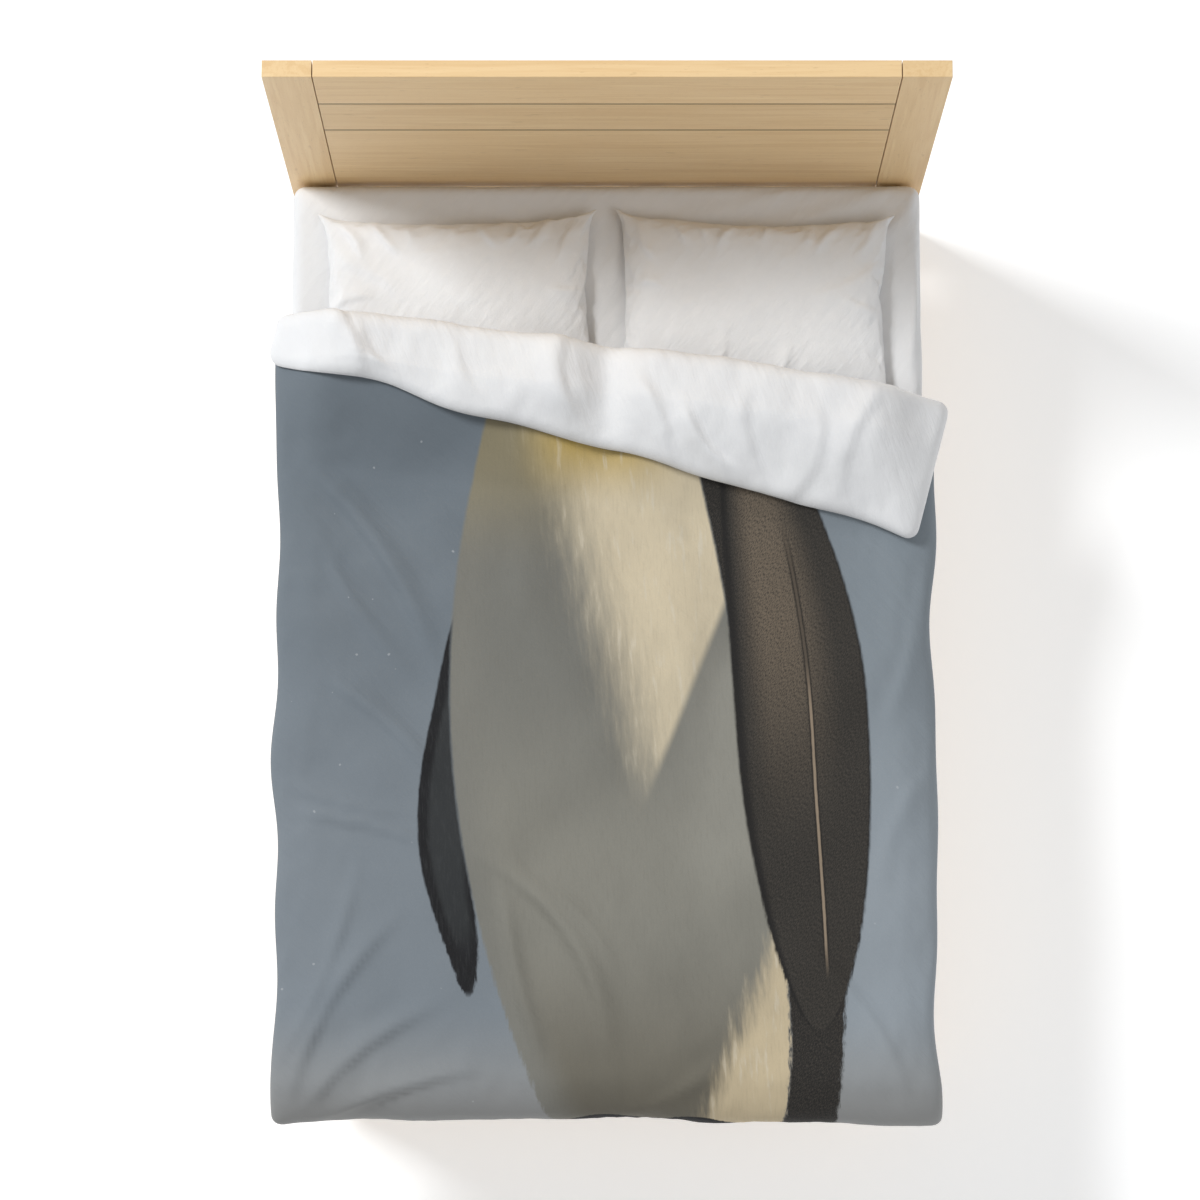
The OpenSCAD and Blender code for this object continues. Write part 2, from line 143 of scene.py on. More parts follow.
def mesh_object(name, points, faces, cloth=None, smooth_faces=True):
    """A mesh in the scene. Cloth gives each point its place on the flat cloth."""
    mesh = bpy.data.meshes.new(name)
    mesh.from_pydata([tuple(p) for p in points], [], [tuple(f) for f in faces])
    if cloth is not None:
        attribute = mesh.attributes.new("cloth", "FLOAT_VECTOR", "POINT")
        attribute.data.foreach_set("vector", np.asarray(cloth, np.float32).ravel())
    mesh.update()
    if smooth_faces:
        mesh.polygons.foreach_set("use_smooth", [True] * len(mesh.polygons))
    obj = bpy.data.objects.new(name, mesh)
    bpy.context.collection.objects.link(obj)
    return obj


def grid_faces(n, m):
    """Quads over a grid of n by m points."""
    corners = [i * m + j for i in range(n - 1) for j in range(m - 1)]
    return [(a, a + m, a + m + 1, a + 1) for a in corners]


def shell(name, top, low, cloth):
    """A closed shell of two grids that share their rim, and the number of its top faces."""
    n, m = top.shape[:2]
    index = np.full((n, m), -1)
    index[0, :] = np.arange(m)
    index[-1, :] = (n - 1) * m + np.arange(m)
    index[:, 0] = np.arange(n) * m
    index[:, -1] = np.arange(n) * m + m - 1
    inner = low[1:-1, 1:-1].reshape(-1, 3)
    index[1:-1, 1:-1] = n * m + np.arange(len(inner)).reshape(n - 2, m - 2)
    points = np.concatenate([top.reshape(-1, 3), inner])
    where = np.concatenate([cloth.reshape(-1, 3), cloth[1:-1, 1:-1].reshape(-1, 3)])
    faces = grid_faces(n, m)
    count = len(faces)
    for i in range(n - 1):
        for j in range(m - 1):
            quad = (index[i, j], index[i, j + 1], index[i + 1, j + 1], index[i + 1, j])
            faces.append(tuple(int(q) for q in quad))
    return mesh_object(name, points, faces, where), count


def paint(obj, *materials):
    """Gives the object these materials and no others."""
    obj.data.materials.clear()
    for m in materials:
        obj.data.materials.append(m)


def paint_low(obj, first_low):
    """Gives the second material to every face from first_low on."""
    index = np.zeros(len(obj.data.polygons), np.int32)
    index[first_low:] = 1
    obj.data.polygons.foreach_set("material_index", index)


# ------------------------------------------------------------------ material helpers

class Nodes:
    """Short ways to add and link nodes in one material."""

    def __init__(self, name):
        self.material = bpy.data.materials.new(name)
        self.material.use_nodes = True
        self.tree = self.material.node_tree
        self.shader = self.tree.nodes["Principled BSDF"]

    def add(self, kind, **values):
        node = self.tree.nodes.new(kind)
        for key, value in values.items():
            setattr(node, key, value)
        return node

    def link(self, a, b):
        self.tree.links.new(a, b)

    def put(self, socket, value):
        if isinstance(value, bpy.types.NodeSocket):
            self.link(value, socket)
        else:
            socket.default_value = value

    def maths(self, operation, a, b=0.0, clamp=False):
        node = self.add("ShaderNodeMath", operation=operation, use_clamp=clamp)
        self.put(node.inputs[0], a)
        self.put(node.inputs[1], b)
        return node.outputs[0]

    def plus(self, a, b):
        return self.maths("ADD", a, b)

    def minus(self, a, b):
        return self.maths("SUBTRACT", a, b)

    def times(self, a, b):
        return self.maths("MULTIPLY", a, b)

    def step(self, value, low, high):
        """Smooth 0 to 1 as value goes from low to high."""
        node = self.add("ShaderNodeMapRange", interpolation_type="SMOOTHSTEP")
        for slot, item in zip(node.inputs, (value, low, high, 0.0, 1.0)):
            self.put(slot, item)
        return node.outputs[0]

    def mix(self, factor, a, b, blend="MIX"):
        node = self.add("ShaderNodeMix", data_type="RGBA", blend_type=blend)
        self.put(node.inputs[0], factor)
        self.put(node.inputs[6], a)
        self.put(node.inputs[7], b)
        return node.outputs[2]

    def noise(self, vector, scale, detail=3.0, rough=0.5, colour=False):
        node = self.add("ShaderNodeTexNoise")
        self.put(node.inputs["Vector"], vector)
        node.inputs["Scale"].default_value = scale
        node.inputs["Detail"].default_value = detail
        node.inputs["Roughness"].default_value = rough
        return node.outputs["Color" if colour else "Fac"]

    def stretch(self, vector, scale, turn=(0, 0, 0)):
        """The vector turned back by turn, then multiplied by scale."""
        node = self.add("ShaderNodeMapping", vector_type="TEXTURE")
        self.put(node.inputs["Vector"], vector)
        node.inputs["Rotation"].default_value = turn
        node.inputs["Scale"].default_value = [1 / s for s in scale]
        return node.outputs[0]

    def tint(self, under, mask, share, colour):
        """The colour laid over `under`, as strong as share where the mask is 1."""
        return self.mix(self.times(mask, share), under, (*colour, 1))

    def coordinate(self):
        return self.add("ShaderNodeTexCoord").outputs["Object"]

    def attribute(self, name):
        return self.add("ShaderNodeAttribute", attribute_name=name).outputs["Vector"]

    def split(self, vector):
        node = self.add("ShaderNodeSeparateXYZ")
        self.put(node.inputs[0], vector)
        return node.outputs

    def curve(self, value, low, high, points, lo_out, hi_out):
        """A smooth curve through points (where, value), for where from low to high."""
        span, rise = high - low, hi_out - lo_out
        scaled = self.maths("DIVIDE", self.minus(value, low), span, True)
        node = self.add("ShaderNodeFloatCurve")
        self.put(node.inputs["Value"], scaled)
        line = node.mapping.curves[0]
        line.points[0].location = (0, (points[0][1] - lo_out) / rise)
        line.points[1].location = (1, (points[-1][1] - lo_out) / rise)
        for where, out in points[1:-1]:
            line.points.new((where - low) / span, (out - lo_out) / rise)
        node.mapping.update()
        return self.plus(self.times(node.outputs[0], rise), lo_out)

    def bump(self, height, distance, strength=1.0, normal=None):
        node = self.add("ShaderNodeBump")
        node.inputs["Strength"].default_value = strength
        node.inputs["Distance"].default_value = distance
        self.put(node.inputs["Height"], height)
        if normal is not None:
            self.link(normal, node.inputs["Normal"])
        return node.outputs[0]

    def finish(self, colour, rough, normal=None, **sockets):
        self.put(self.shader.inputs["Base Color"], colour)
        self.put(self.shader.inputs["Roughness"], rough)
        if normal is not None:
            self.link(normal, self.shader.inputs["Normal"])
        for name, value in sockets.items():
            self.shader.inputs[name.replace("_", " ")].default_value = value
        return self.material


def scaled(colour, factor):
    """The colour made darker or lighter by a factor."""
    return tuple(c * factor for c in colour)


def weave_height(n, place, pitch=0.0011):
    """Over and under threads of a plain weave, about pitch apart."""
    x, y, _ = n.split(place)
    turn = 2 * math.pi / pitch
    warp = n.maths("SINE", n.times(x, turn))
    weft = n.maths("SINE", n.times(y, turn))
    return n.times(warp, weft)


def cloth_material(name, colour, shade, place="cloth"):
    """Brushed polyester cloth: fine weave, faint slubs and a soft sheen."""
    n = Nodes(name)
    where = n.attribute("cloth") if place == "cloth" else n.coordinate()
    slub = n.noise(n.stretch(where, (160, 1500, 160)), 1.0, 2)
    wide = n.noise(where, 7.0, 4, 0.6)
    tone = n.mix(n.step(wide, 0.35, 0.7), (*colour, 1), (*shade, 1))
    tone = n.tint(tone, slub, 0.10, scaled(colour, 0.82))
    fine = n.bump(weave_height(n, where), 0.00012, 0.35)
    soft = n.bump(n.noise(where, 38.0, 5, 0.62), 0.0016, 0.45, fine)
    crinkle = n.noise(n.stretch(where, (9, 46, 9), (0, 0, 0.9)), 1.0, 3, 0.55)
    soft = n.bump(crinkle, 0.0060, 0.45, soft)
    rough = n.plus(n.times(slub, 0.12), 0.74)
    return n.finish(tone, rough, soft, Sheen_Weight=0.25, Sheen_Roughness=0.45,
                    Specular_IOR_Level=0.25)


# ------------------------------------------------------------------ wood and metal

def wood_material(name, grain_axis, light, dark, seed, groove_shade_heights=()):
    """Pale wood: fine grain, broad figure, streaks, flecks, pores, softened edges, painted groove shade.
    """
    n = Nodes(name)

    def grained(across, along):
        """A noise scale that draws spots out along the grain."""
        scale = [across] * 3
        scale[grain_axis] = along
        return scale

    shift = n.add("ShaderNodeVectorMath", operation="ADD")
    n.link(n.coordinate(), shift.inputs[0])
    shift.inputs[1].default_value = (seed * 1.7, seed * 2.3, seed * 0.9)
    where = shift.outputs[0]
    warp = n.noise(n.stretch(where, scaled(grained(34.0, 1.5), 0.16)), 1.0, 3, colour=True)
    bent = n.add("ShaderNodeVectorMath", operation="MULTIPLY_ADD")
    n.link(warp, bent.inputs[0])
    bent.inputs[1].default_value = (0.9, 0.9, 0.9)
    n.link(n.stretch(where, grained(34.0, 1.5)), bent.inputs[2])
    figure = n.noise(bent.outputs[0], 0.75, 5, 0.55)
    rings = n.maths("SINE", n.times(figure, 34.0))
    rings = n.plus(n.times(rings, 0.5), 0.5)
    fibre = n.noise(n.stretch(where, grained(900.0, 16.0)), 1.0, 3, 0.6)
    pores = n.step(n.noise(n.stretch(where, grained(520.0, 60.0)), 1.0, 1), 0.66, 0.76)
    broad = n.noise(where, 2.2, 2)
    streaks = n.step(n.noise(n.stretch(where, grained(150.0, 4.5)), 1.0, 3, 0.55), 0.50, 0.72)
    flecks = n.step(n.noise(n.stretch(where, grained(75.0, 22.0)), 1.0, 2), 0.66, 0.78)
    mid = tuple((a + b) / 2 for a, b in zip(light, dark))
    tone = n.mix(n.step(figure, 0.35, 0.68), (*light, 1), (*mid, 1))
    tone = n.tint(tone, rings, 0.40, dark)
    tone = n.tint(tone, fibre, 0.45, dark)
    tone = n.tint(tone, streaks, 0.38, dark)
    tone = n.tint(tone, flecks, 0.45, scaled(dark, 0.80))
    tone = n.tint(tone, pores, 0.30, scaled(dark, 0.62))
    tone = n.tint(tone, broad, 0.22, dark)
    # Painted shade: a dark band along each plank seam, standing in for the shade that falls in a
    # V-groove between the boards
    for height in groove_shade_heights:
        _, _, z = n.split(n.coordinate())
        off = n.maths("ABSOLUTE", n.minus(z, height))
        tone = n.tint(tone, n.step(off, 0.0075, 0.002), 0.85, scaled(dark, 0.45))
    rough = n.plus(n.times(fibre, 0.18), 0.38)
    edge = n.add("ShaderNodeBevel", samples=4)
    edge.inputs["Radius"].default_value = 0.0022
    normal = n.bump(fibre, 0.00035, 0.35, edge.outputs[0])
    normal = n.bump(rings, 0.0003, 0.2, normal)
    return n.finish(tone, rough, normal, Coat_Weight=0.12, Coat_Roughness=0.3,
                    Specular_IOR_Level=0.4)


def steel_material(name, colour):
    """Steel with fine brushed lines along X and a faint stain."""
    n = Nodes(name)
    where = n.coordinate()
    lines = n.noise(n.stretch(where, (4, 900, 900)), 1.0, 3)
    stain = n.noise(where, 60.0, 4)
    tone = n.mix(n.step(stain, 0.5, 0.8), (*colour, 1), (*scaled(colour, 0.6), 1))
    rough = n.plus(n.times(lines, 0.25), 0.28)
    return n.finish(tone, rough, n.bump(lines, 0.0001, 0.3), Metallic=1.0)


def felt_material():
    """Grey pressed felt with a short fuzz."""
    n = Nodes("grey_felt")
    where = n.coordinate()
    fuzz = n.noise(where, 900.0, 4, 0.7)
    clump = n.noise(where, 120.0, 3)
    tone = n.mix(clump, (0.10, 0.09, 0.085, 1), (0.19, 0.175, 0.165, 1))
    return n.finish(tone, 0.95, n.bump(fuzz, 0.0006, 0.9), Sheen_Weight=0.4)


LIGHT_MAPLE = (0.98, 0.74, 0.43)
DARK_MAPLE = (0.78, 0.51, 0.24)
LIGHT_PINE = (0.82, 0.65, 0.42)
DARK_PINE = (0.62, 0.42, 0.22)


def dress_frame():
    """Gives every hard part of the bed its own wood, metal or felt."""
    along = {"x": 0, "y": 1, "z": 2}
    steel = steel_material("brushed_steel", (0.55, 0.55, 0.56))
    plans = [
        ("headboard_post", "z", LIGHT_MAPLE, DARK_MAPLE),
        ("headboard_plank", "x", LIGHT_MAPLE, DARK_MAPLE),
        ("headboard_panel", "x", LIGHT_MAPLE, DARK_MAPLE),
        ("headboard_cross", "x", LIGHT_MAPLE, DARK_MAPLE),
        ("headboard_batten", "z", LIGHT_PINE, DARK_PINE),
        ("headboard_dowels", "x", LIGHT_PINE, DARK_PINE),
        ("side_rail", "y", LIGHT_MAPLE, DARK_MAPLE),
        ("foot_rail", "x", LIGHT_MAPLE, DARK_MAPLE),
        ("foot_leg", "z", LIGHT_MAPLE, DARK_MAPLE),
        ("centre_leg", "z", LIGHT_MAPLE, DARK_MAPLE),
        ("centre_beam", "y", LIGHT_PINE, DARK_PINE),
        ("slat_ledger", "y", LIGHT_PINE, DARK_PINE),
        ("slat_screws", None, None, None),
        ("slat_", "x", LIGHT_PINE, DARK_PINE),
    ]
    # Heights of the plank seams, where the headboard wood gets a painted band of groove shade
    seams = [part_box(node)[1].z + 0.001 for node in ("headboard_plank_middle", "headboard_panel_lower")]
    for seed, (node, obj) in enumerate(sorted(frame["nodes"].items())):
        if node == "glides":
            paint(obj, felt_material())
            continue
        match = next((p for p in plans if node.startswith(p[0])), None)
        if match is None or match[1] is None:
            paint(obj, steel)
            continue
        _, axis, light, dark = match
        vary = 0.96 + 0.08 * ((seed * 37) % 10) / 10  # each board a little lighter or darker
        tones = [scaled(tone, vary) for tone in (light, dark)]
        # Only the headboard planks and panel get the painted groove shade at the seam heights
        shaded_seams = seams if node.startswith(("headboard_plank", "headboard_panel")) else ()
        paint(obj, wood_material("wood_" + node, along[axis], *tones, seed, shaded_seams))


# ------------------------------------------------------------------ printed cloth

def penguin_print(name):
    """A tall emperor penguin on a cold blue-grey ground, drawn in cloth metres."""
    n = Nodes(name)
    place = n.attribute("cloth")
    u, v, _ = n.split(place)
    low, high = -1.25, 1.0

    def edge(points):
        return n.curve(v, low, high, points, -0.6, 0.8)

    feather = n.noise(n.stretch(place, (150, 34, 1)), 1.0, 4, 0.65)
    ruffle = n.times(n.minus(feather, 0.5), 0.022)
    low_ruffle = n.times(ruffle, n.step(v, -0.45, -0.95))
    rough_u = n.plus(u, n.plus(n.times(ruffle, 0.25), low_ruffle))

    def past(boundary, soft):
        """1 to the right of a boundary."""
        return n.step(n.minus(rough_u, boundary), -soft, soft)

    both = n.times

    def inverse(a):
        return n.minus(1.0, a)

    def slant(at, slope):
        """A straight slanting boundary, `at` metres to the right where v is 0."""
        return n.plus(at, n.times(v, slope))

    def spindle(middle, half_length, half_width):
        """Half width of a blade that tapers to rounded ends."""
        along = n.maths("DIVIDE", n.minus(v, middle), half_length)
        left_over = n.minus(1.0, n.times(along, along))
        return n.times(n.maths("POWER", n.maths("MAXIMUM", left_over, 0.0), 0.6), half_width)

    # Ground: blue-grey haze that turns to pale snow at the foot
    haze = n.noise(n.stretch(place, (1.0, 1.8, 1)), 2.1, 4, 0.55)
    ground = n.mix(n.step(v, 0.30, -0.55), (0.218, 0.256, 0.290, 1), (0.295, 0.334, 0.371, 1))
    ground = n.mix(n.step(u, 0.20, 0.62), ground, (0.330, 0.378, 0.418, 1))
    low_right = both(n.step(u, 0.25, 0.60), n.step(v, 0.0, -0.60))
    ground = n.mix(low_right, ground, (0.425, 0.475, 0.520, 1))
    ground = n.mix(n.step(v, -0.78, -1.04), ground, (0.420, 0.420, 0.412, 1))
    ground = n.tint(ground, n.step(haze, 0.40, 0.75), 0.22, (0.380, 0.415, 0.445))
    flakes = n.step(n.noise(place, 60.0, 0), 0.855, 0.87)
    ground = n.tint(ground, flakes, 0.45, (0.70, 0.72, 0.74))

    # Body: an oval front, with the dark back beside it
    up = n.maths("DIVIDE", n.plus(v, 0.12), 1.15)
    left_edge = n.times(n.minus(n.times(up, up), 1.0), 0.33)
    left_edge = n.maths("MINIMUM", left_edge, -0.05)
    front_edge = edge([(low, 0.32), (-0.9, 0.38), (-0.4, 0.32), (0.0, 0.26), (0.3, 0.20),
                       (0.5, 0.14), (high, 0.10)])
    back_edge = edge([(low, 0.46), (0.1, 0.46), (0.3, 0.40), (0.5, 0.26), (0.75, 0.14),
                      (high, 0.12)])
    fur_end = n.step(n.plus(v, n.times(ruffle, 2.5)), -1.095, -1.075)
    body = both(both(past(left_edge, 0.005), inverse(past(front_edge, 0.005))), fur_end)
    dark_back = both(both(past(front_edge, 0.005), inverse(past(back_edge, 0.005))), fur_end)

    # Belly and chest: olive shade, a sunlit wedge, and warm light low on the right
    plume = n.noise(n.stretch(place, (210, 26, 1), (0, 0, 0.05)), 1.0, 4, 0.6)
    tuft = n.noise(n.stretch(place, (60, 9, 1), (0, 0, 0.08)), 1.0, 3, 0.6)
    blotch = n.noise(n.stretch(place, (7, 3.4, 1)), 1.0, 3, 0.5)
    cream = n.mix(n.step(v, -0.05, -0.50), (0.262, 0.258, 0.228, 1), (0.352, 0.338, 0.288, 1))
    cream = n.mix(n.step(v, -0.60, -1.02), cream, (0.215, 0.195, 0.150, 1))
    inward = n.minus(u, left_edge)
    cream = n.mix(n.step(inward, 0.10, 0.0), cream, (0.300, 0.292, 0.255, 1))
    right_shade = both(n.step(u, 0.10, 0.24), both(n.step(v, 0.05, -0.12), n.step(v, -0.62, -0.45)))
    cream = n.tint(cream, right_shade, 0.75, (0.420, 0.405, 0.350))
    cream = n.tint(cream, n.step(v, 0.10, 0.40), 0.8, (0.380, 0.318, 0.180))
    wobble = n.times(n.minus(tuft, 0.5), 0.10)
    shadow_line = slant(0.24, 0.40)
    soft_side = slant(-0.03, -0.30)
    lit = n.step(n.minus(shadow_line, u), 0.0, 0.022)
    lit = both(lit, n.step(n.minus(n.plus(u, wobble), soft_side), -0.06, 0.12))
    lit = both(lit, n.step(v, -0.44, -0.24))
    cream = n.tint(cream, lit, 0.92, (0.960, 0.820, 0.580))
    low_line = slant(0.60, 0.40)
    low_sun = both(n.step(n.minus(n.plus(u, wobble), low_line), -0.02, 0.05),
                   n.step(v, -0.56, -0.68))
    cream = n.tint(cream, low_sun, 0.80, (0.980, 0.800, 0.520))
    throat = both(n.step(v, 0.25, 0.42),
                  n.step(n.maths("ABSOLUTE", n.plus(u, 0.01)), 0.20, 0.05))
    cream = n.tint(cream, throat, 0.92, (0.720, 0.480, 0.070))
    glints = both(n.step(tuft, 0.56, 0.70), n.maths("MAXIMUM", lit, low_sun))
    cream = n.tint(cream, glints, 0.38, (1.000, 0.930, 0.780))
    cream = n.tint(cream, n.step(blotch, 0.45, 0.72), 0.16, (0.170, 0.160, 0.135))
    cream = n.tint(cream, n.step(plume, 0.45, 0.75), 0.10, (0.150, 0.140, 0.115))

    # Dark feathers of the back
    barb = n.noise(n.stretch(place, (520, 170, 1), (0, 0, -0.55)), 1.0, 4, 0.6)
    coat = n.mix(n.step(barb, 0.40, 0.70), (0.020, 0.018, 0.016, 1), (0.075, 0.064, 0.052, 1))
    picture = n.mix(body, ground, cream)
    picture = n.mix(dark_back, picture, coat)

    # Right wing: a long dark blade over the back, with a thin pale line down it
    wing_line = edge([(low, 0.44), (-0.8, 0.44), (-0.4, 0.42), (0.0, 0.39), (0.3, 0.33),
                      (0.5, 0.27), (high, 0.20)])
    wing_half = spindle(-0.18, 0.67, 0.14)
    wing_outer = n.plus(wing_line, wing_half)
    wing_lower = n.minus(wing_line, wing_half)
    wing = both(past(wing_lower, 0.004), inverse(past(wing_outer, 0.004)))
    wing = both(wing, n.step(wing_half, 0.0, 0.02))
    across = n.maths("DIVIDE", n.minus(u, wing_lower),
                     n.minus(wing_outer, wing_lower))
    blade = n.mix(n.step(barb, 0.36, 0.70), (0.030, 0.027, 0.023, 1), (0.082, 0.070, 0.057, 1))
    brown = both(both(n.step(across, 0.06, 0.30), n.step(across, 0.85, 0.45)),
                 n.step(v, -0.50, 0.06))
    brown = both(brown, n.step(barb, 0.25, 0.62))
    blade = n.tint(blade, brown, 0.70, (0.310, 0.240, 0.170))
    rim = n.maths("MAXIMUM", n.step(across, 0.105, 0.03), n.step(across, 0.97, 1.0))
    blade = n.tint(blade, rim, 0.80, (0.010, 0.009, 0.009))
    picture = n.mix(wing, picture, blade)
    quill = n.plus(wing_line, 0.02)
    quill_u = n.plus(u, n.times(ruffle, 0.12))
    quill_off = n.maths("ABSOLUTE", n.minus(quill_u, quill))
    whole = both(n.step(v, -0.75, -0.65), n.step(v, 0.25, 0.10))
    groove = both(n.step(quill_off, 0.0085, 0.0035), whole)
    picture = n.tint(picture, groove, 0.80, (0.012, 0.011, 0.010))
    bright = n.plus(n.times(n.step(v, -0.06, -0.20), 0.75), 0.22)
    ridge = both(both(n.step(quill_off, 0.0042, 0.0014), whole), bright)
    picture = n.mix(ridge, picture, (0.430, 0.330, 0.235, 1))

    # Left wing: a shorter blade behind the body, a dark rim round its grey side
    fin_line = edge([(low, -0.26), (-0.75, -0.29), (-0.45, -0.34), (-0.1, -0.31), (high, -0.26)])
    fin_half = spindle(-0.36, 0.42, 0.055)
    fin_outer = n.minus(fin_line, fin_half)
    fin_inner = n.plus(fin_line, fin_half)
    fin = both(past(fin_outer, 0.003), inverse(past(fin_inner, 0.004)))
    fin = both(both(fin, n.step(fin_half, 0.0, 0.012)), inverse(body))
    fin_in = both(n.step(n.minus(u, fin_outer), 0.016, 0.030),
                  n.step(n.minus(fin_inner, u), 0.004, 0.022))
    fin_tone = n.mix(both(fin_in, n.step(v, -0.72, -0.60)), (0.012, 0.012, 0.014, 1),
                     (0.040, 0.043, 0.045, 1))
    fin_tone = n.tint(fin_tone, n.step(plume, 0.45, 0.7), 0.22, (0.085, 0.090, 0.092))
    picture = n.mix(fin, picture, fin_tone)

    # Feet: two rounded dark shapes at the hem
    for centre in (-0.010, 0.190):
        wide = n.maths("POWER", n.maths("DIVIDE", n.minus(rough_u, centre), 0.085), 2.0)
        tall = n.maths("POWER", n.maths("DIVIDE", n.plus(v, 1.102), 0.070), 2.0)
        foot = n.step(n.plus(wide, tall), 1.06, 0.94)
        picture = n.mix(foot, picture, (0.013, 0.013, 0.015, 1))

    # Head and neck, which lie on the part that is turned under
    neck = both(both(n.step(v, 0.60, 0.68), n.step(n.minus(u, back_edge), 0.0, -0.01)),
                past(left_edge, 0.006))
    picture = n.mix(neck, picture, (0.016, 0.016, 0.018, 1))

    picture = n.mix(1.0, picture, (0.700, 0.702, 0.705, 1), "MULTIPLY")
    thread = n.noise(n.stretch(place, (700, 700, 700)), 1.0, 1)
    picture = n.tint(picture, thread, 0.025, (0.9, 0.9, 0.9))
    fine = n.bump(weave_height(n, place), 0.00012, 0.35)
    soft = n.bump(n.noise(place, 34.0, 5, 0.6), 0.0014, 0.35, fine)
    crinkle = n.noise(n.stretch(place, (8, 40, 1), (0, 0, -0.8)), 1.0, 3, 0.55)
    soft = n.bump(crinkle, 0.0060, 0.45, soft)
    return n.finish(picture, 0.78, soft, Sheen_Weight=0.04, Sheen_Roughness=0.5,
                    Specular_IOR_Level=0.12)


# ------------------------------------------------------------------ duvet

def fold_y(x):
    """Y of the fold line at x."""
    return FOLD.y - x * math.tan(FOLD_ANGLE)


def behind_fold(x, y):
    """Distance behind the fold line, square to it."""
    return (fold_y(x) - y) * math.cos(FOLD_ANGLE)


def rise(x, s):
    """Height of the duvet's underside over the mattress, s behind the fold."""
    ramp = np.clip((RAMP_END + 0.02 - s) / (RAMP_END - PLATEAU), 0.0, 1.0)
    ramp = ramp * ramp * (3 - 2 * ramp) * 0.5 + ramp * 0.5
    over_pillows = 1 - 0.72 * smooth(0.56, 0.70, np.abs(x + 0.01))
    gap = 1 - 0.42 * np.exp(-(x / 0.050) ** 2)
    return FOLD_RISE * ramp * over_pillows * gap


def side_droop(x):
    """How far the duvet sinks over the mattress's long edges."""
    d = np.clip(np.abs(x) - 0.615, 0.0, None)
    return -2.6 * d ** 2 - 0.10 * d


DUVET_CREASES = [
    # start, end, width, height, bow
    ((-0.63, 0.34), (-0.37, -0.06), 0.022, 0.011, 0.03),
    ((-0.60, 0.18), (-0.42, -0.10), 0.016, 0.006, -0.02),
    ((-0.58, -0.12), (-0.36, -0.33), 0.018, 0.008, 0.02),
    ((-0.66, -0.40), (-0.36, -0.47), 0.012, 0.0065, 0.015),
    ((-0.66, -0.34), (-0.42, -0.40), 0.010, 0.005, -0.01),
    ((-0.66, -1.00), (-0.44, -0.62), 0.020, 0.009, 0.03),
    ((-0.64, -1.02), (-0.36, -0.80), 0.018, 0.008, 0.02),
    ((-0.60, -1.04), (-0.26, -0.93), 0.016, 0.009, 0.02),
    ((-0.68, -0.92), (-0.52, -0.52), 0.014, 0.006, -0.02),
    ((-0.24, -0.50), (0.00, -0.90), 0.024, 0.013, 0.06),
    ((-0.22, -0.56), (-0.13, -0.93), 0.014, 0.009, -0.012),
    ((-0.12, -0.56), (0.02, -0.74), 0.016, 0.005, 0.02),
    ((0.62, -0.98), (0.40, -0.66), 0.020, 0.006, -0.03),
    ((0.66, 0.10), (0.57, -0.22), 0.020, 0.005, 0.02),
    ((0.67, -0.30), (0.56, -0.55), 0.018, 0.005, -0.02),
    ((0.10, 0.10), (0.20, -0.30), 0.030, 0.004, 0.02),
    ((-0.20, 0.20), (-0.08, -0.15), 0.035, 0.004, -0.02),
    ((0.24, -0.90), (0.05, -1.02), 0.018, 0.006, 0.01),
]

# How much higher the duvet's folds are made than the lists say
FOLD_HEIGHT = 1.5


def duvet_relief(x, y):
    """Height of the folds, swells and small wrinkles of the duvet's top."""
    z = 0.0065 * waves(x, y, 0.42, 5) + 0.0030 * waves(x, y, 0.19, 6)
    ripple = 1 - np.abs(waves(x, y * 0.6, 0.085, 7))
    near_side = smooth(0.40, 0.66, np.abs(x))
    near_foot = smooth(-0.70, -0.95, y)
    z = z + 0.0022 * ripple * np.clip(near_side + near_foot, 0.15, 1)
    for start, end, width, height, bow in DUVET_CREASES:
        z = z + crease(x, y, start, end, width, height * FOLD_HEIGHT, bow)
    return z


